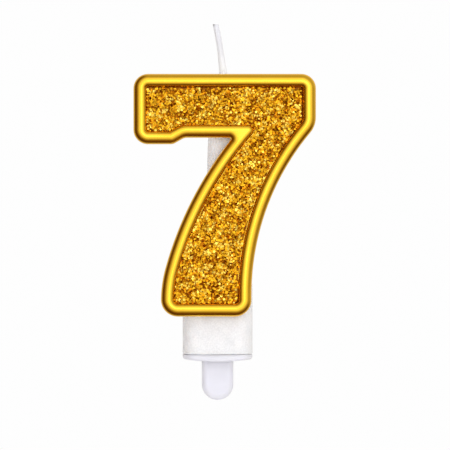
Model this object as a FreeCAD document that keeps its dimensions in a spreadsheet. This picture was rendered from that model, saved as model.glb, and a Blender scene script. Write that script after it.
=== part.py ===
# Birthday candle in the shape of the number 7.
#
# A gold-plated plastic shell carries a raised round rim and a sunk panel of glitter.  White wax is
# cast into the back of the shell in one piece with a tapering column and an oval foot.  A braided
# wick runs up the column and stands out of its top.  The foot pushes down over the tang of a plastic
# holder, whose blade goes into the cake.
#
# Frame: X to the right, Y away from the viewer, Z up.  The origin is on the centre line of the blade,
# at the lowest point of the holder's plate, which is where the candle meets the icing.

import FreeCAD, Part
import math
import os

import Sketcher
from FreeCAD import Rotation, Vector

SIZES = {
    # the numeral, seen from the front
    "numeral_height": 60.0,
    "foot_height": 11.2,  # lower edge of the numeral above the origin
    "bar_left": 20.8,
    "bar_right": 24.3,
    "bar_height": 15.8,
    "flag_height": 17.4,  # the bar is thicker at its left end
    "flag_end": 11.0,
    "step_end": 8.2,
    "leg_right_radius": 62.5,
    "leg_right_centre": 16.6,  # height of that arc's centre
    "foot_right": 8.4,
    "leg_left_radius": 90.0,
    "leg_left_centre": 73.8,
    "leg_left_drop": 0.9,  # that arc's centre is this far below the origin
    "heel_radius": 30.0,
    "heel_height": 23.2,
    "head_corner": 3.6,
    "foot_corner": 4.2,
    "elbow_corner": 6.0,
    "step_corner": 2.5,
    # the shell's section
    "numeral_depth": 5.2,
    "shell_wall": 0.7,
    "rim_width": 3.3,
    "recess_depth": 1.8,
    "rim_outer_round": 1.85,
    "rim_inner_round": 1.4,
    "notch_radius": 0.4,
    "rim_tip_radius": 1.5,
    "glitter_gap": 0.1,
    "glitter_thickness": 0.4,
    # the wax behind the shell
    "foot_width": 17.3,
    "foot_depth": 9.0,
    "foot_section_corner": 3.8,
    "shoulder_low": 19.0,
    "shoulder_high": 27.0,
    "column_shift": 1.4,
    "column_low_width": 9.4,
    "column_low_depth": 7.4,
    "column_top_width": 6.6,
    "column_top_depth": 6.4,
    "column_corner": 2.7,
    "column_top_round": 1.0,
    "wax_top": 68.4,
    # the wick
    "wick_diameter": 1.5,
    "wick_foot": 14.0,  # height of the wick's lower end inside the wax
    "wick_shift": 1.55,
    "wick_ball_diameter": 2.0,
    "wick_root_diameter": 1.94,
    "wick_waist_diameter": 1.75,
    "wick_waist_height": 4.5,  # above the bend, as are the next three
    "wick_neck_height": 7.5,
    "wick_neck_diameter": 1.5,
    "wick_free_length": 14.15,
    "wick_lean": 0.079,  # sideways run for each unit of height, at the bend
    "wick_bow_radius": 110.0,
    "bend_gap": 0.1,
    # the holder
    "plate_thickness": 1.75,
    "plate_crown_radius": 60.0,
    "plate_edge_round": 0.9,
    "blade_width": 7.8,
    "blade_thickness": 3.4,
    "blade_length": 9.5,
    "blade_round": 1.5,
    "tang_width": 6.0,
    "tang_thickness": 2.6,
    "tang_height": 8.0,
    "tang_corner": 1.0,
    "tang_round": 0.6,
    "socket_gap": 0.05,
    "socket_end_gap": 0.4,
}

# lengths that follow from the others
DERIVED = {
    "numeral_top": "foot_height + numeral_height",
    "front_plane": "-foot_depth / 2 - numeral_depth",
    "wick_back": "(column_top_depth - foot_depth) / 2",
    "bend_height": "wax_top + bend_gap + wick_ball_diameter / 2",
}

doc = FreeCAD.newDocument("number_candle")


# --- the sheet of driving dimensions -----------------------------------------------------------


def make_sheet():
    """One named cell for each size."""
    made = doc.addObject("Spreadsheet::Sheet", "Sizes")
    row = 1
    for alias, value in SIZES.items():
        made.set(f"A{row}", alias)
        made.set(f"B{row}", str(value))
        made.setAlias(f"B{row}", alias)
        row += 1
    for alias, formula in DERIVED.items():
        made.set(f"A{row}", alias)
        made.set(f"B{row}", "=" + formula)
        made.setAlias(f"B{row}", alias)
        row += 1
    doc.recompute()
    return made


sheet = make_sheet()


def size(alias):
    """A size's value, for placing sketch geometry before its constraints take over."""
    return float(getattr(sheet, alias))


# --- helpers for bodies, sketches and features -------------------------------------------------


def new_body(label):
    body = doc.addObject("PartDesign::Body", label)
    body.Label = label
    return body


def plane(body, role):
    return next(f for f in body.Origin.OriginFeatures if f.Role == role)


def bind(target, path, formula):
    """Ties a property to the sheet.  Names of sizes in the formula are looked up there."""
    words = formula.replace("(", " ( ").replace(")", " ) ").split()
    tied = " ".join(f"Sizes.{w}" if w in SIZES or w in DERIVED else w for w in words)
    target.setExpression(path, tied)


def new_sketch(body, name, role, heights=None):
    """A sketch on one of the body's own planes, raised along X, Y or Z by named offsets."""
    sketch = body.newObject("Sketcher::SketchObject", name)
    sketch.AttachmentSupport = [(plane(body, role), "")]
    sketch.MapMode = "FlatFace"
    for axis, formula in (heights or {}).items():
        bind(sketch, f"AttachmentOffset.Base.{axis}", formula)
    return sketch


def tie(sketch, name, formula, *facts):
    """Adds a named dimension whose value comes from the sheet."""
    index = sketch.addConstraint(Sketcher.Constraint(*facts))
    sketch.renameConstraint(index, name)
    bind(sketch, f"Constraints.{name}", formula)


def close_loop(sketch, first, count):
    for k in range(count):
        here, after = first + k, first + (k + 1) % count
        sketch.addConstraint(Sketcher.Constraint("Coincident", here, 2, after, 1))


def near_corner(sketch, edge, corner):
    """A point on an edge of a sketch, a short way from one of the edge's ends."""
    curve = sketch.Geometry[edge]
    first, last = curve.FirstParameter, curve.LastParameter
    if (curve.value(first) - corner).Length > (curve.value(last) - corner).Length:
        first, last = last, first
    return curve.value(first + 0.15 * (last - first))


def corner_arc(sketch, first, second, place, name, alias):
    """Rounds the corner where two edges of a sketch meet, with a radius from the sheet."""
    corner = sketch.getPoint(first, place)
    first_point = near_corner(sketch, first, corner)
    second_point = near_corner(sketch, second, corner)
    radius = size(alias)
    sketch.fillet(first, second, first_point, second_point, radius, True, True)
    arcs = [k for k, g in enumerate(sketch.Geometry) if isinstance(g, Part.ArcOfCircle)]
    tie(sketch, name, alias, "Radius", arcs[-1], radius)


def oval_sketch(body, name, width, depth, corner, heights):
    """A rectangle with round corners, centred on the plane's origin."""
    sketch = new_sketch(body, name, "XY_Plane", heights)
    half_x, half_y = 5.0, 4.0
    corners = [
        Vector(-half_x, -half_y, 0),
        Vector(half_x, -half_y, 0),
        Vector(half_x, half_y, 0),
        Vector(-half_x, half_y, 0),
    ]
    for k in range(4):
        sketch.addGeometry(Part.LineSegment(corners[k], corners[(k + 1) % 4]), False)
    close_loop(sketch, 0, 4)
    for k in range(4):
        direction = "Horizontal" if k % 2 == 0 else "Vertical"
        sketch.addConstraint(Sketcher.Constraint(direction, k))
    sketch.addConstraint(Sketcher.Constraint("Symmetric", 0, 1, 2, 1, -1, 1))
    tie(sketch, "width", width, "DistanceX", 0, 1, 0, 2, 2 * half_x)
    tie(sketch, "depth", depth, "DistanceY", 1, 1, 1, 2, 2 * half_y)
    for k in range(4):
        corner_arc(sketch, k, (k + 1) % 4, 2, f"corner_{k}", corner)
    doc.recompute()
    return sketch


def circle_sketch(body, name, diameter, heights):
    sketch = new_sketch(body, name, "XY_Plane", heights)
    sketch.addGeometry(Part.Circle(Vector(0, 0, 0), Vector(0, 0, 1), 1.0), False)
    sketch.addConstraint(Sketcher.Constraint("Coincident", 0, 3, -1, 1))
    tie(sketch, "diameter", diameter, "Diameter", 0, 2.0)
    doc.recompute()
    return sketch


def pad(body, name, profile, length, midplane=False):
    feature = body.newObject("PartDesign::Pad", name)
    feature.Profile = profile
    feature.Midplane = midplane
    bind(feature, "Length", length)
    doc.recompute()
    return feature


def pocket(body, name, profile, length, backwards=False, midplane=False):
    """Cuts the body, and stops if nothing was removed."""
    before = body.Shape.Volume
    feature = body.newObject("PartDesign::Pocket", name)
    feature.Profile = profile
    feature.Reversed = backwards
    feature.Midplane = midplane
    bind(feature, "Length", length)
    doc.recompute()
    if feature.Shape.Volume > before - 1e-3:
        raise RuntimeError(f"{body.Label}: {name} cuts nothing")
    return feature


def loft(body, name, first, second):
    feature = body.newObject("PartDesign::AdditiveLoft", name)
    feature.Profile = first
    feature.Sections = [second]
    feature.Ruled = True
    doc.recompute()
    return feature


def fillet(body, name, edges, radius):
    """Rounds edges of the body's last feature, given by number from 1."""
    base = body.Tip
    feature = body.newObject("PartDesign::Fillet", name)
    feature.Base = (base, [f"Edge{n}" for n in edges])
    bind(feature, "Radius", radius)
    doc.recompute()
    return feature


def edges_where(body, test):
    """The numbers of the edges whose sampled points all pass a test."""
    found = []
    for number, edge in enumerate(body.Shape.Edges, 1):
        if all(test(p) for p in edge.discretize(5)):
            found.append(number)
    return found


def cut(label, base, tool):
    made = doc.addObject("Part::Cut", label)
    made.Label = label
    made.Base = base
    made.Tool = tool
    doc.recompute()
    return made


def fuse(label, base, tool):
    made = doc.addObject("Part::Fuse", label)
    made.Label = label
    made.Base = base
    made.Tool = tool
    made.Refine = True
    doc.recompute()
    return made


# --- the outline of the 7 ----------------------------------------------------------------------


def point_on_left(centre, radius, height):
    """The point of a circle at a height, on the circle's left-hand side."""
    return Vector(centre.x - math.sqrt(radius**2 - (height - centre.y) ** 2), height, 0)


def arc_between(centre, radius, start, end):
    """The arc from start to end, anticlockwise seen from the front."""
    angles = [math.atan2(p.y - centre.y, p.x - centre.x) for p in (start, end)]
    first, last = (a % (2 * math.pi) for a in angles)
    return Part.ArcOfCircle(Part.Circle(centre, Vector(0, 0, 1), radius), first, last)


def outline_sketch():
    """The numeral's outer edge on its front plane, clockwise from the upper left corner."""
    sketch = doc.addObject("Sketcher::SketchObject", "seven_outline")
    sketch.Placement.Rotation = Rotation(Vector(1, 0, 0), 90)
    bind(sketch, "Placement.Base.y", "front_plane")

    top, left, right = size("numeral_top"), -size("bar_left"), size("bar_right")
    base, bar = size("foot_height"), top - size("bar_height")
    flag = top - size("flag_height")
    right_radius, left_radius = size("leg_right_radius"), size("leg_left_radius")
    heel_radius = size("heel_radius")
    right_centre = Vector(size("foot_right") + right_radius, size("leg_right_centre"), 0)
    left_centre = Vector(size("leg_left_centre"), -size("leg_left_drop"), 0)

    reach = math.sqrt(right_radius**2 - (right_centre.x - right) ** 2)
    elbow = Vector(right, right_centre.y + reach, 0)
    ankle = Vector(size("foot_right"), right_centre.y, 0)
    notch = point_on_left(left_centre, left_radius, bar)
    heel = point_on_left(left_centre, left_radius, size("heel_height"))
    inward = (left_centre - heel).normalize()
    heel_centre = heel + inward * heel_radius
    toe = point_on_left(heel_centre, heel_radius, base)

    corners = {
        "head_left": Vector(left, top, 0),
        "head_right": Vector(right, top, 0),
        "step_high": Vector(-size("step_end"), bar, 0),
        "step_low": Vector(-size("flag_end"), flag, 0),
        "flag_left": Vector(left, flag, 0),
        "sole_right": Vector(size("foot_right"), base, 0),
    }
    line = Part.LineSegment
    edges = [
        line(corners["head_left"], corners["head_right"]),
        line(corners["head_right"], elbow),
        arc_between(right_centre, right_radius, elbow, ankle),
        line(ankle, corners["sole_right"]),
        line(corners["sole_right"], toe),
        arc_between(heel_centre, heel_radius, heel, toe),
        arc_between(left_centre, left_radius, notch, heel),
        line(notch, corners["step_high"]),
        line(corners["step_high"], corners["step_low"]),
        line(corners["step_low"], corners["flag_left"]),
        line(corners["flag_left"], corners["head_left"]),
    ]
    (head, side, leg_right, shin, sole, heel_arc, leg_left, under, step, flag_line, back) = range(11)
    sketch.addGeometry(edges, False)

    start, end, centre = 1, 2, 3
    joins = [
        (head, end, side, start),
        (side, end, leg_right, start),
        (leg_right, end, shin, start),
        (shin, end, sole, start),
        (sole, end, heel_arc, end),
        (leg_left, start, under, start),
        (under, end, step, start),
        (step, end, flag_line, start),
        (flag_line, end, back, start),
        (back, end, head, start),
    ]
    for join in joins:
        sketch.addConstraint(Sketcher.Constraint("Coincident", *join))
    sketch.addConstraint(Sketcher.Constraint("Tangent", leg_left, end, heel_arc, start))
    for edge in (head, sole, under, flag_line):
        sketch.addConstraint(Sketcher.Constraint("Horizontal", edge))
    for edge in (side, shin, back):
        sketch.addConstraint(Sketcher.Constraint("Vertical", edge))

    def from_origin(name, formula, direction, edge, place, value):
        tie(sketch, name, formula, direction, -1, 1, edge, place, value)

    from_origin("top_edge", "numeral_top", "DistanceY", head, start, top)
    from_origin("left_edge", "-1 * bar_left", "DistanceX", head, start, left)
    from_origin("right_edge", "bar_right", "DistanceX", head, end, right)
    from_origin("base_edge", "foot_height", "DistanceY", sole, start, base)
    from_origin("bar_edge", "numeral_top - bar_height", "DistanceY", under, start, bar)
    from_origin("flag_edge", "numeral_top - flag_height", "DistanceY", flag_line, start, flag)
    from_origin("step_end", "-1 * step_end", "DistanceX", step, start, -size("step_end"))
    from_origin("flag_end", "-1 * flag_end", "DistanceX", step, end, -size("flag_end"))
    from_origin("ankle_x", "foot_right", "DistanceX", shin, start, ankle.x)
    from_origin("ankle_z", "leg_right_centre", "DistanceY", shin, start, ankle.y)
    from_origin("right_z", "leg_right_centre", "DistanceY", leg_right, centre, ankle.y)
    tie(sketch, "right_radius", "leg_right_radius", "Radius", leg_right, right_radius)
    from_origin("left_x", "leg_left_centre", "DistanceX", leg_left, centre, left_centre.x)
    from_origin("left_z", "-1 * leg_left_drop", "DistanceY", leg_left, centre, left_centre.y)
    tie(sketch, "left_radius", "leg_left_radius", "Radius", leg_left, left_radius)
    from_origin("heel_z", "heel_height", "DistanceY", leg_left, end, heel.y)
    tie(sketch, "heel_radius", "heel_radius", "Radius", heel_arc, heel_radius)
    doc.recompute()

    rounds = [
        (head, side, end, "head_right_round", "head_corner"),
        (side, leg_right, end, "elbow_round", "elbow_corner"),
        (shin, sole, end, "sole_right_round", "foot_corner"),
        (sole, heel_arc, end, "toe_round", "foot_corner"),
        (under, step, end, "step_high_round", "step_corner"),
        (step, flag_line, end, "step_low_round", "step_corner"),
        (flag_line, back, end, "flag_round", "head_corner"),
        (back, head, end, "head_left_round", "head_corner"),
    ]
    for first, second, place, name, alias in rounds:
        corner_arc(sketch, first, second, place, name, alias)
    doc.recompute()
    return sketch


# --- the numeral: gold shell, wax inside it, glitter bed ---------------------------------------


def inset_outline(body, name, outline, formula):
    """The face inside the numeral's outline moved inward by a distance."""
    face = body.newObject("PartDesign::SubShapeBinder", name)
    face.Support = [(outline, ("",))]
    face.MakeFace = True
    face.OffsetJoinType = 2
    bind(face, "Offset", formula)
    doc.recompute()
    return face


def upright(body, notch, reaches_back):
    """The edge running front to back that is nearest the notch.

    Edges of the outer wall reach the back plane, and edges of the sunk panel do not.
    """
    back = size("front_plane") + size("numeral_depth")
    best = None
    for number, edge in enumerate(body.Shape.Edges, 1):
        ends = [v.Point for v in edge.Vertexes]
        if len(ends) != 2 or abs(abs(ends[0].y - ends[1].y) - edge.Length) > 1e-6:
            continue
        if (max(p.y for p in ends) > back - 1e-4) != reaches_back:
            continue
        away = math.hypot(ends[0].x - notch.x, ends[0].z - notch.y)
        if best is None or away < best[0]:
            best = (away, number)
    return best[1]


def round_notch(body, notch, outer, inner):
    """Rounds the rim where the bar meets the leg: its inner tip, then the notch itself."""
    fillet(body, "rim_tip", [upright(body, notch, False)], inner)
    fillet(body, "notch", [upright(body, notch, True)], outer)


def crest_edges(body, front, outside):
    """The edges round the outside, or the inside, of the rim's flat crest."""
    crest = next(f for f in body.Shape.Faces if f.BoundBox.YMax < front + 1e-3)
    around = crest.OuterWire
    wires = [w for w in crest.Wires if w.isSame(around) == outside]
    chosen = [edge for wire in wires for edge in wire.Edges]
    numbered = enumerate(body.Shape.Edges, 1)
    return [n for n, edge in numbered if any(edge.isSame(c) for c in chosen)]


def numeral_form(outline, notch):
    """The shell's outer surface: a slab with a round rim standing above a sunk panel."""
    body = new_body("numeral_form")
    edge = inset_outline(body, "outer_edge", outline, "0")
    pad(body, "slab", edge, "numeral_depth")
    panel = inset_outline(body, "panel_edge", outline, "-1 * rim_width")
    pocket(body, "panel", panel, "recess_depth", backwards=True)
    round_notch(body, notch, "notch_radius", "rim_tip_radius")
    front = size("front_plane")
    fillet(body, "outer_round", crest_edges(body, front, True), "rim_outer_round")
    fillet(body, "inner_round", crest_edges(body, front, False), "rim_inner_round")
    return body


def numeral_core(outline, notch):
    """The wax inside the shell, one wall thickness in from it everywhere."""
    body = new_body("numeral_core")
    edge = inset_outline(body, "inner_edge", outline, "-1 * shell_wall")
    pad(body, "slab", edge, "numeral_depth")
    pocket(body, "face", edge, "shell_wall", backwards=True)
    panel = inset_outline(body, "panel_edge", outline, "-1 * ( rim_width - shell_wall )")
    pocket(body, "panel", panel, "recess_depth + shell_wall", backwards=True)
    round_notch(body, notch, "notch_radius + shell_wall", "rim_tip_radius - shell_wall")
    front = size("front_plane") + size("shell_wall")
    outer, inner = "rim_outer_round - shell_wall", "rim_inner_round - shell_wall"
    fillet(body, "outer_round", crest_edges(body, front, True), outer)
    fillet(body, "inner_round", crest_edges(body, front, False), inner)
    return body


def glitter_inlay(outline, notch):
    """The thin bed of glitter glued to the floor of the sunk panel, round the rim's tip."""
    body = new_body("glitter_inlay")
    edge = inset_outline(body, "glitter_edge", outline, "-1 * ( rim_width + glitter_gap )")
    pad(body, "bed", edge, "recess_depth")
    pocket(body, "level", edge, "recess_depth - glitter_thickness", backwards=True)
    fillet(body, "tip", [upright(body, notch, False)], "rim_tip_radius + glitter_gap")
    return body


# --- the wax behind the shell ------------------------------------------------------------------


def wax_stem():
    """The oval foot, its shoulder, and the column that tapers up the back of the numeral."""
    body = new_body("wax_stem")
    foot = oval_sketch(
        body, "foot_section", "foot_width", "foot_depth", "foot_section_corner",
        {"z": "plate_thickness"},
    )
    pad(body, "foot", foot, "shoulder_low - plate_thickness")
    shoulder = oval_sketch(
        body, "shoulder_section", "foot_width", "foot_depth", "foot_section_corner",
        {"z": "shoulder_low"},
    )
    low = oval_sketch(
        body, "column_low", "column_low_width", "column_low_depth", "column_corner",
        {"x": "column_shift", "y": "( column_low_depth - foot_depth ) / 2", "z": "shoulder_high"},
    )
    loft(body, "shoulder", shoulder, low)
    top = oval_sketch(
        body, "column_top", "column_top_width", "column_top_depth", "column_corner",
        {"x": "column_shift", "y": "( column_top_depth - foot_depth ) / 2", "z": "wax_top"},
    )
    loft(body, "column", low, top)
    wax_top = size("wax_top")
    rim = edges_where(body, lambda p: abs(p.z - wax_top) < 1e-4)
    fillet(body, "top_round", rim, "column_top_round")
    return body


def tang_socket():
    """The space in the foot that the holder's tang pushes into."""
    body = new_body("tang_socket")
    section = oval_sketch(
        body, "socket_section", "tang_width + 2 * socket_gap", "tang_thickness + 2 * socket_gap",
        "tang_corner", {"z": "plate_thickness"},
    )
    pad(body, "socket", section, "tang_height + socket_end_gap")
    return body


# --- the wick ----------------------------------------------------------------------------------


def wick_core():
    """The length of wick cast into the column."""
    body = new_body("wick_core")
    section = circle_sketch(
        body, "core_section", "wick_diameter",
        {"x": "wick_shift", "y": "wick_back", "z": "wick_foot"},
    )
    pad(body, "core", section, "wax_top - wick_foot")
    return body


def wick_tip():
    """The free end, leaning and bowing to the left from a ball at the bend."""
    body = new_body("wick_tip")
    stations = [
        ("root", "0", "wick_root_diameter"),
        ("waist", "wick_waist_height", "wick_waist_diameter"),
        ("neck", "wick_neck_height", "wick_neck_diameter"),
        ("end", "wick_free_length", "wick_diameter"),
    ]
    sections = []
    for name, rise, diameter in stations:
        run = f"wick_shift - wick_lean * {rise} - {rise} * {rise} / ( 2 * wick_bow_radius )"
        place = {"x": run, "y": "wick_back", "z": f"bend_height + {rise}"}
        sections.append(circle_sketch(body, f"{name}_section", diameter, place))
    strand = body.newObject("PartDesign::AdditiveLoft", "strand")
    strand.Profile = sections[0]
    strand.Sections = sections[1:]
    doc.recompute()
    ball = body.newObject("PartDesign::AdditiveSphere", "bend_ball")
    ball.AttachmentSupport = [(plane(body, "XY_Plane"), "")]
    ball.MapMode = "FlatFace"
    bind(ball, "AttachmentOffset.Base.x", "wick_shift")
    bind(ball, "AttachmentOffset.Base.y", "wick_back")
    bind(ball, "AttachmentOffset.Base.z", "bend_height")
    bind(ball, "Radius", "wick_ball_diameter / 2")
    doc.recompute()
    return body


# --- the holder --------------------------------------------------------------------------------


def crown_sketch(body):
    """The space under the plate's domed underside, seen from the front."""
    sketch = new_sketch(body, "crown", "XZ_Plane")
    radius = size("plate_crown_radius")
    half = size("foot_width") / 2 + 1
    rise = radius - math.sqrt(radius**2 - half**2)
    left, right = Vector(-half, rise, 0), Vector(half, rise, 0)
    low_left, low_right = Vector(-half, -1, 0), Vector(half, -1, 0)
    sketch.addGeometry(arc_between(Vector(0, radius, 0), radius, left, right), False)
    sketch.addGeometry(Part.LineSegment(right, low_right), False)
    sketch.addGeometry(Part.LineSegment(low_right, low_left), False)
    sketch.addGeometry(Part.LineSegment(low_left, left), False)
    close_loop(sketch, 0, 4)
    sketch.addConstraint(Sketcher.Constraint("PointOnObject", 0, 3, -2))
    sketch.addConstraint(Sketcher.Constraint("Vertical", 1))
    sketch.addConstraint(Sketcher.Constraint("Horizontal", 2))
    sketch.addConstraint(Sketcher.Constraint("Vertical", 3))
    sketch.addConstraint(Sketcher.Constraint("Symmetric", 0, 1, 0, 2, -2))
    tie(sketch, "radius", "plate_crown_radius", "Radius", 0, radius)
    tie(sketch, "centre", "plate_crown_radius", "DistanceY", -1, 1, 0, 3, radius)
    tie(sketch, "reach", "foot_width / 2 + 1", "DistanceX", -1, 1, 2, 1, half)
    tie(sketch, "floor", "1", "DistanceY", 2, 1, -1, 1, 1.0)
    doc.recompute()
    return sketch


def holder_plate():
    """The oval plate with its domed underside, and the tang on top of it."""
    body = new_body("holder_plate")
    outline = oval_sketch(
        body, "plate_section", "foot_width", "foot_depth", "foot_section_corner", {},
    )
    pad(body, "plate", outline, "plate_thickness")
    pocket(body, "domed_underside", crown_sketch(body), "2 * foot_depth", midplane=True)
    low = size("plate_thickness") - 0.1
    rim = edges_where(body, lambda p: p.z < low)
    fillet(body, "lower_round", rim, "plate_edge_round")
    section = oval_sketch(
        body, "tang_section", "tang_width", "tang_thickness", "tang_corner",
        {"z": "plate_thickness"},
    )
    pad(body, "tang", section, "tang_height")
    top = size("plate_thickness") + size("tang_height")
    rim = edges_where(body, lambda p: abs(p.z - top) < 1e-4)
    fillet(body, "tang_round", rim, "tang_round")
    return body


def blade_sketch(body):
    """The blade from the front: straight sides and a full round end."""
    sketch = new_sketch(body, "blade_outline", "XZ_Plane")
    half = size("blade_width") / 2
    top, bend = 1.0, half - size("blade_length")
    sketch.addGeometry(Part.LineSegment(Vector(half, bend, 0), Vector(half, top, 0)), False)
    sketch.addGeometry(Part.LineSegment(Vector(half, top, 0), Vector(-half, top, 0)), False)
    sketch.addGeometry(Part.LineSegment(Vector(-half, top, 0), Vector(-half, bend, 0)), False)
    ends = Vector(-half, bend, 0), Vector(half, bend, 0)
    sketch.addGeometry(arc_between(Vector(0, bend, 0), half, *ends), False)
    sketch.addConstraint(Sketcher.Constraint("Coincident", 0, 2, 1, 1))
    sketch.addConstraint(Sketcher.Constraint("Coincident", 1, 2, 2, 1))
    sketch.addConstraint(Sketcher.Constraint("Tangent", 2, 2, 3, 1))
    sketch.addConstraint(Sketcher.Constraint("Tangent", 3, 2, 0, 1))
    sketch.addConstraint(Sketcher.Constraint("Vertical", 0))
    sketch.addConstraint(Sketcher.Constraint("Horizontal", 1))
    sketch.addConstraint(Sketcher.Constraint("Vertical", 2))
    sketch.addConstraint(Sketcher.Constraint("PointOnObject", 3, 3, -2))
    tie(sketch, "radius", "blade_width / 2", "Radius", 3, half)
    tie(sketch, "bend", "blade_length - blade_width / 2", "DistanceY", 3, 3, -1, 1, -bend)
    tie(sketch, "root", "plate_thickness / 2", "DistanceY", -1, 1, 1, 1, top)
    doc.recompute()
    return sketch


def holder_blade():
    """The flat blade that goes into the cake, rounded to an oval section."""
    body = new_body("holder_blade")
    pad(body, "blade", blade_sketch(body), "blade_thickness", midplane=True)
    half = size("blade_thickness") / 2
    top = size("plate_thickness") / 2
    sides = edges_where(body, lambda p: abs(abs(p.y) - half) < 1e-4)
    crown = edges_where(body, lambda p: abs(p.z - top) < 1e-4)
    fillet(body, "blade_round", [n for n in sides if n not in crown], "blade_round")
    return body


# --- the six parts -----------------------------------------------------------------------------

outline = outline_sketch()
notch = outline.getPoint(6, 1)

form = numeral_form(outline, notch)
core = numeral_core(outline, notch)
numeral_shell = cut("numeral_shell", form, core)
glitter = glitter_inlay(outline, notch)

braid = wick_core()
free_end = wick_tip()

casting = fuse("wax_casting", core, wax_stem())
socketed = cut("wax_with_socket", casting, tang_socket())
wax_body = cut("wax_body", socketed, braid)

cake_holder = fuse("cake_holder", holder_plate(), holder_blade())

nodes = {
    "wax_body": wax_body,
    "numeral_shell": numeral_shell,
    "glitter_inlay": glitter,
    "wick_core": braid,
    "wick_tip": free_end,
    "cake_holder": cake_holder,
}


# --- checks and export -------------------------------------------------------------------------


def check_document():
    """Stops if any object failed to build or any sketch is left loose."""
    doc.recompute()
    for item in doc.Objects:
        if "Invalid" in item.State or "Error" in item.State:
            raise RuntimeError(f"{item.Label} did not build: {item.State}")
        if item.TypeId == "Sketcher::SketchObject" and not item.FullyConstrained:
            raise RuntimeError(f"{item.Label} is not fully constrained")


def check_node(name, shape):
    """Stops if a part is not one valid solid."""
    if shape.isNull() or not shape.isValid():
        raise RuntimeError(f"{name} has a bad shape")
    if len(shape.Solids) != 1:
        raise RuntimeError(f"{name} has {len(shape.Solids)} solids")


check_document()
os.makedirs("parts", exist_ok=True)
for name, item in nodes.items():
    check_node(name, item.Shape)
    item.Shape.exportStep(f"parts/{name}.step")
    box = item.Shape.optimalBoundingBox()
    spans = [(box.XMin, box.XMax), (box.YMin, box.YMax), (box.ZMin, box.ZMax)]
    text = "  ".join(f"{low:7.2f} to {high:7.2f}" for low, high in spans)
    print(f"{name:15s} {text}  volume {item.Shape.Volume:9.1f}")
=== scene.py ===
# Birthday candle in the shape of the number 7: gilded shell, glitter panel, white wax, wick and holder.

import math
import random

import bmesh
import bpy
from mathutils import Matrix, Vector, noise
from mathutils.bvhtree import BVHTree


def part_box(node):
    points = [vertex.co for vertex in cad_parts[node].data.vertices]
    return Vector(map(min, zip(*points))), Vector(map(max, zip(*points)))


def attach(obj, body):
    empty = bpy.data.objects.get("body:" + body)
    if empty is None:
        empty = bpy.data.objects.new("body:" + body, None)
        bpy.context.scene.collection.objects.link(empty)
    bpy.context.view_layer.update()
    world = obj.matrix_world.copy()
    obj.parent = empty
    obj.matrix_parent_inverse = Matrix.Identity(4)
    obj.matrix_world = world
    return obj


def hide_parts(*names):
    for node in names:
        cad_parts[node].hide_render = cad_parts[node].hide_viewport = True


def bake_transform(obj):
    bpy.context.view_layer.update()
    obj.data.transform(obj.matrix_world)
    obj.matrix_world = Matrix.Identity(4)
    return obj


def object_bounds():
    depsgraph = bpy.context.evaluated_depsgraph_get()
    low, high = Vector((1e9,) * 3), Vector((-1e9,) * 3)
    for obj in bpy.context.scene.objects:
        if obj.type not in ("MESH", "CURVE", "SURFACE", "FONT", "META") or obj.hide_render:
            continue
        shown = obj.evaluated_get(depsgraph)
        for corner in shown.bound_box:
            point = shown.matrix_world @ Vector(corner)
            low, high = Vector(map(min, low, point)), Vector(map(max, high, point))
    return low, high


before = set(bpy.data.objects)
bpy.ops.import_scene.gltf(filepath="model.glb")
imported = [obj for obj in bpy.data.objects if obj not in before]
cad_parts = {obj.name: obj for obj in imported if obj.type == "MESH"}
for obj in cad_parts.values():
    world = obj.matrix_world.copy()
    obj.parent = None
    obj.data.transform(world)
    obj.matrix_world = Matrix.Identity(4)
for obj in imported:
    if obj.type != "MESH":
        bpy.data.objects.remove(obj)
cad_box = [list(corner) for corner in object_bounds()]


# --- cake holder -------------------------------------------------------------------------------
# One injection moulding in milky, slightly bluish plastic.  An oval plate with a domed underside
# carries a round-ended blade that goes into the cake, and a tang on top that the wax grips.

MM = 0.001


def welded(node):
    """A CAD part's loose triangles joined into one skin."""
    skin = bmesh.new()
    skin.from_mesh(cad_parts[node].data)
    bmesh.ops.remove_doubles(skin, verts=skin.verts, dist=0.0005 * MM)
    return skin


def piece(name, skin, finish, crease=35.0):
    """Makes a finished skin into an object, smooth except across edges sharper than the crease."""
    mesh = bpy.data.meshes.new(name)
    skin.to_mesh(mesh)
    skin.free()
    mesh.materials.append(finish)
    mesh.shade_smooth()
    mesh.set_sharp_from_angle(angle=math.radians(crease))
    made = bpy.data.objects.new(name, mesh)
    bpy.context.collection.objects.link(made)
    return made


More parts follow.
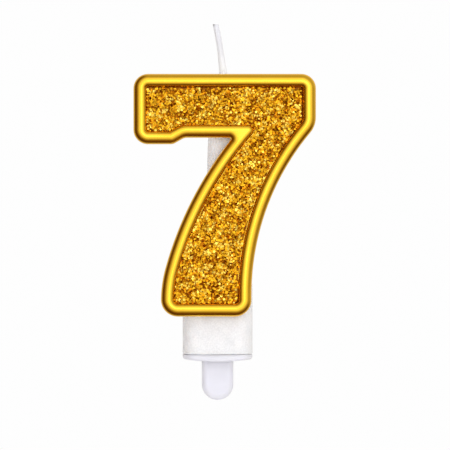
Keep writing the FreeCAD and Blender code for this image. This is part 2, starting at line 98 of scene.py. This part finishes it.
class Wire:
    """One output socket of a material.  Sums and products of wires add Math nodes."""

    def __init__(self, socket):
        self.socket = socket

    def node(self, kind, settings=None, inputs=None, output=0):
        """Adds a node to this wire's material: its settings first, then its inputs."""
        tree = self.socket.id_data
        added = tree.nodes.new(kind)
        for name, value in (settings or {}).items():
            if name == "stops":
                Wire.set_stops(added.color_ramp, value)
            else:
                setattr(added, name, value)
        for key, value in (inputs or {}).items():
            if isinstance(value, Wire):
                tree.links.new(value.socket, added.inputs[key])
            else:
                added.inputs[key].default_value = value
        return Wire(added.outputs[output])

    @staticmethod
    def set_stops(ramp, stops):
        while len(ramp.elements) < len(stops):
            ramp.elements.new(0.5)
        for element, (place, colour) in zip(ramp.elements, stops):
            element.position = place
            element.color = colour

    def maths(self, operation, first, second=0.0):
        return self.node("ShaderNodeMath", {"operation": operation}, {0: first, 1: second})

    def __add__(self, other):
        return self.maths("ADD", self, other)

    __radd__ = __add__

    def __mul__(self, other):
        return self.maths("MULTIPLY", self, other)

    __rmul__ = __mul__

    def axis(self, name):
        return self.node("ShaderNodeSeparateXYZ", None, {0: self}, name)

    def along(self, direction):
        """How nearly a unit vector points in a direction: 1 along it, -1 against it."""
        inputs = {0: self, 1: direction.normalized()}
        return self.node("ShaderNodeVectorMath", {"operation": "DOT_PRODUCT"}, inputs, "Value")

    def noise(self, size, detail=2.0):
        """Soft noise from 0 to 1 whose lumps are about the given size in metres."""
        inputs = {"Vector": self, "Scale": 1.0 / size, "Detail": detail}
        return self.node("ShaderNodeTexNoise", None, inputs)

    def ramp(self, *stops):
        """Turns a value into a colour."""
        colours = [(place, (*colour, 1.0)) for place, colour in stops]
        return self.node("ShaderNodeValToRGB", {"stops": colours}, {0: self})

    def mask(self, low, high):
        """0 below low, 1 above high, smooth between; high may be the smaller."""
        inputs = {"Value": self, "From Min": low, "From Max": high}
        return self.node("ShaderNodeMapRange", {"interpolation_type": "SMOOTHSTEP"}, inputs)

    def tint(self, amount, colour):
        """This colour moved towards another by an amount from 0 to 1."""
        settings = {"data_type": "RGBA", "clamp_factor": True}
        return self.node("ShaderNodeMix", settings, {0: amount, 6: self, 7: colour}, 2)

    def relief(self, height):
        """This height, from 0 to 1, as a bump of the given height in metres."""
        return self.node("ShaderNodeBump", None, {"Distance": height, "Height": self})

    def feeds(self, shader, name):
        self.socket.id_data.links.new(self.socket, shader.inputs[name])


def new_finish(name, **values):
    """A material with its Principled shader's own values set, and a wire of Object coordinates."""
    finish = bpy.data.materials.new(name)
    finish.use_nodes = True
    shader = finish.node_tree.nodes["Principled BSDF"]
    for key, value in values.items():
        shader.inputs[key.replace("_", " ")].default_value = value
    coordinates = finish.node_tree.nodes.new("ShaderNodeTexCoord")
    return finish, shader, Wire(coordinates.outputs["Object"])


def holder_plastic():
    finish, shader, place = new_finish(
        "holder_plastic",
        Subsurface_Weight=0.35,
        Subsurface_Radius=(1.0, 1.0, 1.1),
        Subsurface_Scale=1.5 * MM,
        IOR=1.49,
        Coat_Weight=0.15,
        Coat_Roughness=0.2,
    )
    cloud = place.noise(6 * MM)
    colour = cloud.ramp((0.3, (0.725, 0.735, 0.83)), (0.7, (0.76, 0.77, 0.86)))
    colour.feeds(shader, "Base Color")
    (0.30 + 0.12 * place.noise(1.2 * MM)).feeds(shader, "Roughness")
    place.noise(0.6 * MM, detail=4.0).relief(0.006 * MM).feeds(shader, "Normal")
    return finish


holder = piece("cake_holder_moulding", welded("cake_holder"), holder_plastic())
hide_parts("cake_holder")
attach(holder, "holder")


# --- wax ---------------------------------------------------------------------------------------
# White paraffin poured into the back of the shell, with a tapering column and an oval foot cast in
# the same pour.  It cools slightly wavy and grainy, creeps up the wick, and has a ragged lower lip.

VOXEL = 0.3 * MM
LIP_HEIGHT = 0.7 * MM
LIP_CHIP = 0.16 * MM
WAX_WAVE = 0.035 * MM
CREEP_HEIGHT = 0.9 * MM
CREEP_REACH = 0.45 * MM
CREEP_LIMIT = 2.5 * MM
CREEP_ROOT = 0.8 * MM


def recast(skin, voxel):
    """The same solid with an even skin of small faces, which can take fine modelling."""
    mould = bpy.data.meshes.new("mould")
    skin.to_mesh(mould)
    skin.free()
    blank = bpy.data.objects.new("blank", mould)
    bpy.context.collection.objects.link(blank)
    remesh = blank.modifiers.new("remesh", "REMESH")
    remesh.mode = "VOXEL"
    remesh.voxel_size = voxel
    depsgraph = bpy.context.evaluated_depsgraph_get()
    cast = bmesh.new()
    cast.from_mesh(blank.evaluated_get(depsgraph).data)
    bpy.data.objects.remove(blank)
    bpy.data.meshes.remove(mould)
    return cast


def fade(value, near, far):
    """1 at near, 0 at far, smooth between."""
    share = min(max((value - far) / (near - far), 0.0), 1.0)
    return share * share * (3.0 - 2.0 * share)


wax_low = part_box("wax_body")[0]
core_low, core_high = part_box("wick_core")
wick_x = (core_low.x + core_high.x) / 2
wick_y = (core_low.y + core_high.y) / 2
wick_radius = (core_high.x - core_low.x) / 2
column_top = core_high.z


def model_wax(skin):
    """Waves all over, a chipped lower lip, and the wax that climbs the wick."""
    bmesh.ops.smooth_vert(skin, verts=skin.verts, factor=0.5, use_axis_x=True, use_axis_y=True,
                          use_axis_z=True)
    skin.normal_update()
    for vertex in skin.verts:
        spot = vertex.co.copy()
        wave = noise.noise(spot / (3.5 * MM)) + 0.35 * noise.noise(spot / (0.9 * MM))
        vertex.co += vertex.normal * wave * WAX_WAVE
        lip = fade(spot.z, wax_low.z, wax_low.z + LIP_HEIGHT)
        chip = max(noise.noise(Vector((spot.x, spot.y, 0.0)) / (0.8 * MM)) + 0.15, 0.0)
        vertex.co.z += lip * chip * LIP_CHIP
        away = math.hypot(spot.x - wick_x, spot.y - wick_y) - wick_radius
        if spot.z > column_top - CREEP_ROOT and away < CREEP_LIMIT:
            vertex.co.z += CREEP_HEIGHT * math.exp(-max(away, 0.0) / CREEP_REACH)


def paraffin():
    finish, shader, place = new_finish(
        "paraffin",
        Subsurface_Weight=0.45,
        Subsurface_Radius=(1.0, 0.88, 0.8),
        Subsurface_Scale=2.0 * MM,
        IOR=1.44,
    )
    mottle = 0.4 * place.noise(3 * MM, detail=3.0) + 0.6 * place.noise(0.4 * MM, detail=3.0)
    colour = mottle.ramp((0.38, (0.77, 0.78, 0.82)), (0.60, (0.865, 0.875, 0.915)))
    crystals = place.noise(0.35 * MM).mask(0.62, 0.72)
    colour.tint(crystals * 0.6, (0.98, 0.98, 0.985, 1.0)).feeds(shader, "Base Color")
    (0.42 + 0.2 * place.noise(0.8 * MM)).feeds(shader, "Roughness")
    grain = 0.6 * place.noise(0.5 * MM, detail=4.0) + 0.4 * place.noise(0.2 * MM)
    grain.relief(0.05 * MM).feeds(shader, "Normal")
    return finish


wax_skin = recast(welded("wax_body"), VOXEL)
model_wax(wax_skin)
wax = piece("wax_casting", wax_skin, paraffin(), crease=60.0)
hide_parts("wax_body")
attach(wax, "candle")


# --- gilded shell ------------------------------------------------------------------------------
# A thin plastic moulding of the number with a round raised rim and a sunk panel, plated in a vacuum
# chamber with gold-coloured metal under a clear lacquer.  The wax is poured into its open back.


def gilding():
    finish, shader, place = new_finish(
        "gilding",
        Metallic=1.0,
        Specular_Tint=(1.0, 0.72, 0.30, 1.0),
        Coat_Weight=1.0,
        Coat_Roughness=0.10,
        Coat_IOR=1.36,
    )
    drift = place.noise(5 * MM)
    colour = drift.ramp((0.3, (0.98, 0.565, 0.018)), (0.7, (1.0, 0.60, 0.026)))
    colour.feeds(shader, "Base Color")
    (0.18 + 0.07 * place.noise(1.5 * MM, detail=3.0)).feeds(shader, "Roughness")
    place.noise(0.7 * MM, detail=3.0).relief(0.006 * MM).feeds(shader, "Normal")
    return finish


gilt = gilding()
shell = piece("gilded_shell", welded("numeral_shell"), gilt, crease=40.0)
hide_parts("numeral_shell")
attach(shell, "candle")


# --- glitter -----------------------------------------------------------------------------------
# A bed of amber glue on the floor of the panel, strewn with six-sided metallised film flakes.  They
# lie at many angles in four shades, pale gold to copper brown.  Along the bed's upper and right
# edges half of them are left out so the dark glue shows there: a painted shadow of the rim.

FLAKE_RADIUS = 0.29 * MM
FLAKE_THICKNESS = 0.02 * MM
FLAKE_PITCH = 0.32 * MM
FLAKE_PILE = 0.5 * MM
CLUMP_SIZE = 2.0 * MM
CLUMP_PULL = 0.55  # how far a clump shifts its flakes towards one end of the shades
EDGE = 0.8 * MM
PAINTED_SHADOW_SHARE = 0.5  # share of the flakes left out along the upper and right edges, as painted shadow of the rim
SHADES = {
    "pale": {"share": 0.12, "colour": (1.0, 0.68, 0.10), "roughness": 0.22, "tilt": 9},
    "gold": {"share": 0.50, "colour": (1.0, 0.51, 0.018), "roughness": 0.34, "tilt": 14},
    "amber": {"share": 0.25, "colour": (0.90, 0.34, 0.008), "roughness": 0.38, "tilt": 20},
    "brown": {"share": 0.15, "colour": (0.46, 0.13, 0.004), "roughness": 0.42, "tilt": 26},
}


def glue():
    finish, shader, place = new_finish("amber_glue", Metallic=0.8)
    cloud = place.noise(1.2 * MM, detail=4.0)
    colour = cloud.ramp((0.35, (0.20, 0.045, 0.002)), (0.65, (0.50, 0.19, 0.006)))
    colour.feeds(shader, "Base Color")
    (0.35 + 0.25 * place.noise(0.5 * MM)).feeds(shader, "Roughness")
    place.noise(0.4 * MM, detail=3.0).relief(0.15 * MM).feeds(shader, "Normal")
    return finish


def flake_film(name, colour, roughness):
    """Metallised film, with faint patches where the plating is thinner."""
    finish, shader, place = new_finish(name, Metallic=1.0, Roughness=roughness)
    thin_plating = tuple(channel * 0.86 for channel in colour)
    patches = place.noise(1.6 * MM).ramp((0.35, thin_plating), (0.65, colour))
    patches.feeds(shader, "Base Color")
    return finish


def cut_flake():
    """One six-sided flake, lying flat at the origin."""
    blank = bmesh.new()
    bmesh.ops.create_cone(blank, cap_ends=True, cap_tris=False, segments=6, radius1=FLAKE_RADIUS,
                          radius2=FLAKE_RADIUS, depth=FLAKE_THICKNESS)
    flake = bpy.data.meshes.new("flake")
    blank.to_mesh(flake)
    blank.free()
    return flake


def on_bed(bed_tree, x, z):
    """Whether a point on the numeral's front has the glue bed behind it."""
    in_front = cad_box[0][1] - 10 * MM
    return bed_tree.ray_cast(Vector((x, in_front, z)), Vector((0, 1, 0)))[0] is not None


def strew(bed_skin, dice):
    """Places for the flakes over the bed, sorted into the four shades."""
    bed_tree = BVHTree.FromBMesh(bed_skin)
    low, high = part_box("glitter_inlay")
    names = list(SHADES)
    heaps = {name: [] for name in names}
    columns = int((high.x - low.x) / FLAKE_PITCH)
    rows = int((high.z - low.z) / FLAKE_PITCH)
    for cell in range(columns * rows):
        x = low.x + (cell % columns + dice.random()) * FLAKE_PITCH
        z = low.z + (cell // columns + dice.random()) * FLAKE_PITCH
        height = dice.random() * FLAKE_PILE
        chance = dice.random()
        turns = [dice.gauss(0.0, 1.0), dice.gauss(0.0, 1.0), dice.random() * math.pi]
        scale = dice.uniform(0.7, 1.2)
        # Painted shadow: near the upper and right edges some flakes are left out so the dark glue
        # shows.
        dropped_for_painted_shadow = dice.random() < PAINTED_SHADOW_SHARE
        inside = on_bed(bed_tree, x + EDGE, z + EDGE)
        if not on_bed(bed_tree, x, z) or (dropped_for_painted_shadow and not inside):
            continue
        clump = noise.noise(Vector((x, 0.0, z)) / CLUMP_SIZE)
        chance = min(max(chance + CLUMP_PULL * clump, 0.0), 0.999)
        for name in names:
            chance -= SHADES[name]["share"]
            if chance < 0:
                break
        tilt = math.radians(SHADES[name]["tilt"])
        turned = Matrix.Rotation(turns[0] * tilt, 4, "X") @ Matrix.Rotation(turns[1] * tilt, 4, "Z")
        lying = Matrix.Rotation(math.pi / 2, 4, "X") @ Matrix.Rotation(turns[2], 4, "Z")
        spot = Matrix.Translation((x, low.y - height, z))
        heaps[name].append(spot @ turned @ lying @ Matrix.Scale(scale, 4))
    return heaps


def pile(flake, places):
    """One skin holding a copy of the flake at each place."""
    skin = bmesh.new()
    for _ in places:
        skin.from_mesh(flake)
    per_flake = len(flake.vertices)
    for index, vertex in enumerate(skin.verts):
        vertex.co = places[index // per_flake] @ vertex.co
    return skin


bed_skin = welded("glitter_inlay")
heaps = strew(bed_skin, random.Random(7))
bed = piece("glitter_bed", bed_skin, glue())
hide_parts("glitter_inlay")
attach(bed, "candle")

flake = cut_flake()
for name, shade in SHADES.items():
    film = flake_film(f"{name}_film", shade["colour"], shade["roughness"])
    flakes = piece(f"{name}_flakes", pile(flake, heaps[name]), film, crease=10.0)
    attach(flakes, "candle")


# --- wick --------------------------------------------------------------------------------------
# One braided cotton strand dipped in wax.  It runs down inside the column.  Its free end is thick
# and white with wax near the column, thinner and greyer above, leans to the left, and is cut square.

SEGMENTS = 28
STATION = 0.14 * MM
BRAID_PITCH = 1.5 * MM
BRAID_RELIEF = 0.018 * MM
WAX_FILL = 0.65  # share of the relief that the wax hides near the column
HIDDEN_STATIONS = 1.5 * MM  # how far inside the column the close stations begin
LEAN = 0.079  # sideways run for each unit of height, at the bend
BOW_RADIUS = 110 * MM
tip_low, tip_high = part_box("wick_tip")
bend_z = tip_low.z + 1.0 * MM
strand_end = tip_high.z - 0.02 * MM
# Height above the bend and the strand's radius there, both in millimetres.
THICKNESSES = [(-1.1, 0.98), (0.0, 1.0), (1.7, 1.0), (4.5, 0.88), (7.5, 0.76), (20.0, 0.75)]


def strand_radius(rise):
    """The strand's radius at a height above the bend, in metres."""
    height = rise / MM
    for (low, thick), (high, thin) in zip(THICKNESSES, THICKNESSES[1:]):
        if height <= high:
            share = max((height - low) / (high - low), 0.0)
            return (thick + (thin - thick) * share) * MM
    return THICKNESSES[-1][1] * MM


def strand_x(z):
    """Where the strand's middle is, left to right, at a height."""
    rise = max(z - bend_z, 0.0)
    return wick_x - LEAN * rise - rise * rise / (2 * BOW_RADIUS)


def strand_skin():
    """A disc drawn up station by station along the strand's line, then closed at its lower end."""
    skin = bmesh.new()
    bmesh.ops.create_circle(skin, cap_ends=True, segments=SEGMENTS, radius=wick_radius,
                            matrix=Matrix.Translation((wick_x, wick_y, core_low.z)))
    top = skin.faces[:][0]
    heights = [column_top - HIDDEN_STATIONS]
    while heights[-1] < strand_end - STATION:
        heights.append(heights[-1] + STATION)
    z = core_low.z
    for height in heights:
        top = bmesh.ops.extrude_discrete_faces(skin, faces=[top])["faces"][0]
        radius = strand_radius(height - bend_z)
        centre = Vector((strand_x(z), wick_y, z))
        goal = Vector((strand_x(height), wick_y, height))
        old = (top.verts[0].co - centre).length
        move = Matrix.Translation(goal) @ Matrix.Scale(radius / old, 4) @ Matrix.Translation(-centre)
        bmesh.ops.transform(skin, matrix=move, verts=top.verts)
        z = height
    bmesh.ops.holes_fill(skin, edges=skin.edges)
    bmesh.ops.recalc_face_normals(skin, faces=skin.faces)
    return skin


def emboss_braid(skin):
    """Crossing ridges of the braid, softened by the wax near the column."""
    for vertex in skin.verts:
        spot = vertex.co
        if spot.z < column_top - HIDDEN_STATIONS + STATION / 2:
            continue
        across = Vector((spot.x - strand_x(spot.z), spot.y - wick_y, 0.0))
        angle = math.atan2(across.y, across.x)
        turn = spot.z / BRAID_PITCH * math.pi
        ridge = max(abs(math.sin(2 * angle + turn)), abs(math.sin(2 * angle - turn)))
        bare = 1.0 - WAX_FILL * fade(spot.z, bend_z + 2 * MM, bend_z + 7 * MM)
        rough = 0.3 * noise.noise(spot / (0.5 * MM))
        vertex.co += across.normalized() * (ridge - 0.8 + rough) * BRAID_RELIEF * bare


def waxed_cotton():
    finish, shader, place = new_finish(
        "waxed_cotton",
        Subsurface_Weight=0.15,
        Subsurface_Radius=(1.0, 0.97, 0.98),
        Subsurface_Scale=0.3 * MM,
        Sheen_Weight=0.7,
        Sheen_Roughness=0.4,
        IOR=1.44,
    )
    threads = place.noise(0.25 * MM, detail=4.0)
    colour = threads.ramp((0.3, (0.86, 0.89, 0.97)), (0.6, (0.93, 0.96, 1.0)))
    unwaxed = place.axis("Z").mask(bend_z + 1 * MM, bend_z + 10 * MM)
    dry = colour.tint(unwaxed * 0.8, (0.70, 0.72, 0.80, 1.0))
    # Painted shadow: the last 0.9 mm of the strand darkened on its left side, at the cut end.
    painted_tip_shadow = place.axis("Z").mask(strand_end - 0.9 * MM, strand_end)
    side = place.axis("X").mask(strand_x(strand_end) + 0.2 * MM, strand_x(strand_end) - 0.6 * MM)
    dry.tint(painted_tip_shadow * side * 0.85, (0.16, 0.16, 0.17, 1.0)).feeds(shader, "Base Color")
    (0.4 + 0.25 * place.noise(0.4 * MM)).feeds(shader, "Roughness")
    threads.relief(0.03 * MM).feeds(shader, "Normal")
    return finish


wick_skin = strand_skin()
emboss_braid(wick_skin)
wick = piece("wick_strand", wick_skin, waxed_cotton(), crease=50.0)
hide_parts("wick_core", "wick_tip")
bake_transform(wick)


# --- table and surroundings --------------------------------------------------------------------
# The candle is held up over a pale round table top, against plain white.  The gold mirrors a white
# tent in front, brown shade around it, and paler light from above, from the right and from behind.

FLOOR_DROP = 60 * MM
FLOOR_RADIUS = 0.5
TENT_MIDDLE = Vector((0.205, -0.95, 0.242))
TENT_STRENGTH = 1.33
# From the far side of the room, 0, to the tent's middle, 1: where each shade is, and the shade.
TENT_SHADES = [
    (0.30, (0.062, 0.026, 0.008)),
    (0.54, (0.088, 0.038, 0.012)),
    (0.63, (0.165, 0.088, 0.035)),
    (0.71, (0.24, 0.175, 0.105)),
    (0.79, (0.40, 0.360, 0.30)),
    (0.86, (0.60, 0.580, 0.55)),
    (0.92, (0.82, 0.82, 0.81)),
    (0.97, (1.0, 1.0, 1.0)),
]
WASHES = [
    {"side": Vector((0.62, 0.20, 0.76)), "from": 0.40, "to": 0.85, "share": 0.85,
     "shade": (0.42, 0.39, 0.33, 1.0)},
    {"side": Vector((1.0, 0.0, 0.0)), "from": 0.86, "to": 0.99, "share": 0.45,
     "shade": (0.42, 0.38, 0.30, 1.0)},
    {"side": Vector((0.0, 1.0, 0.0)), "from": 0.05, "to": 0.80, "share": 0.70,
     "shade": (0.80, 0.79, 0.76, 1.0)},
]


def table_top():
    skin = bmesh.new()
    bmesh.ops.create_circle(skin, cap_ends=True, segments=96, radius=FLOOR_RADIUS,
                            matrix=Matrix.Translation((0.0, 0.0, cad_box[0][2] - FLOOR_DROP)))
    mesh = bpy.data.meshes.new("table_top")
    skin.to_mesh(mesh)
    skin.free()
    finish, shader, place = new_finish("pale_table", Roughness=0.7)
    clouds = place.noise(80 * MM).ramp((0.3, (0.90, 0.90, 0.90)), (0.7, (0.93, 0.93, 0.93)))
    clouds.feeds(shader, "Base Color")
    mesh.materials.append(finish)
    made = bpy.data.objects.new("table_top", mesh)
    bpy.context.collection.objects.link(made)
    made.visible_glossy = False


def room():
    """White where the camera sees past the candle, and the tent and the washes for all other light."""
    world = bpy.data.worlds.new("room")
    world.use_nodes = True
    nodes, links = world.node_tree.nodes, world.node_tree.links
    coordinates = nodes.new("ShaderNodeTexCoord")
    outward = Wire(coordinates.outputs["Generated"])
    walls = (0.5 + 0.5 * outward.along(TENT_MIDDLE)).ramp(*TENT_SHADES)
    for wash in WASHES:
        amount = outward.along(wash["side"]).mask(wash["from"], wash["to"]) * wash["share"]
        walls = walls.tint(amount, wash["shade"])
    lighting = nodes["Background"]
    lighting.inputs["Strength"].default_value = TENT_STRENGTH
    walls.feeds(lighting, "Color")
    paper = nodes.new("ShaderNodeBackground")
    paper.inputs["Color"].default_value = (0.99, 0.99, 0.99, 1.0)
    path = nodes.new("ShaderNodeLightPath")
    mix = nodes.new("ShaderNodeMixShader")
    links.new(path.outputs["Is Camera Ray"], mix.inputs[0])
    links.new(lighting.outputs[0], mix.inputs[1])
    links.new(paper.outputs[0], mix.inputs[2])
    links.new(mix.outputs[0], nodes["World Output"].inputs["Surface"])
    bpy.context.scene.world = world


table_top()
room()


# --- lights and camera -------------------------------------------------------------------------
# One small softbox above the camera's line, to the right, shines in the lacquer.  Five more give
# light but show in no reflection: low in front, on the left, on the right, overhead and behind.

LOOK_AT = Vector((1.83 * MM, cad_box[0][1], 33.85 * MM))
CAMERA_DISTANCE = 2.5
FRAME_WIDTH = 111.1 * MM
SENSOR = 36.0


def softbox(name, place, side, radiance, glossy=True):
    """A square lamp that shines evenly towards the candle."""
    lamp = bpy.data.lights.new(name, "AREA")
    lamp.shape = "SQUARE"
    lamp.size = side
    lamp.energy = radiance * math.pi * side * side
    made = bpy.data.objects.new(name, lamp)
    made.location = place
    made.rotation_euler = (LOOK_AT - Vector(place)).to_track_quat("-Z", "Y").to_euler()
    made.visible_camera = False
    made.visible_glossy = glossy
    bpy.context.collection.objects.link(made)


softbox("key_softbox", (0.24, -1.5, 0.26), 0.60, 1.0)
softbox("front_softbox", (0.0, -1.6, -0.05), 0.6, 3.2, glossy=False)
softbox("left_softbox", (-1.3, -1.0, -0.2), 1.3, 1.1, glossy=False)
softbox("right_softbox", (1.1, -1.2, -0.2), 1.0, 0.9, glossy=False)
softbox("top_softbox", (0.0, 0.1, 1.6), 1.5, 1.8, glossy=False)
softbox("back_softbox", (0.3, 1.5, 0.5), 1.4, 1.6, glossy=False)

lens = bpy.data.cameras.new("camera")
lens.sensor_width = SENSOR
lens.lens = SENSOR * CAMERA_DISTANCE / FRAME_WIDTH
lens.clip_start = 0.01
lens.clip_end = 20.0
camera = bpy.data.objects.new("camera", lens)
camera.location = LOOK_AT - Vector((0.0, CAMERA_DISTANCE, 0.0))
camera.rotation_euler = (math.pi / 2, 0.0, 0.0)
bpy.context.collection.objects.link(camera)
bpy.context.scene.camera = camera

bpy.context.scene.view_settings.view_transform = "Standard"
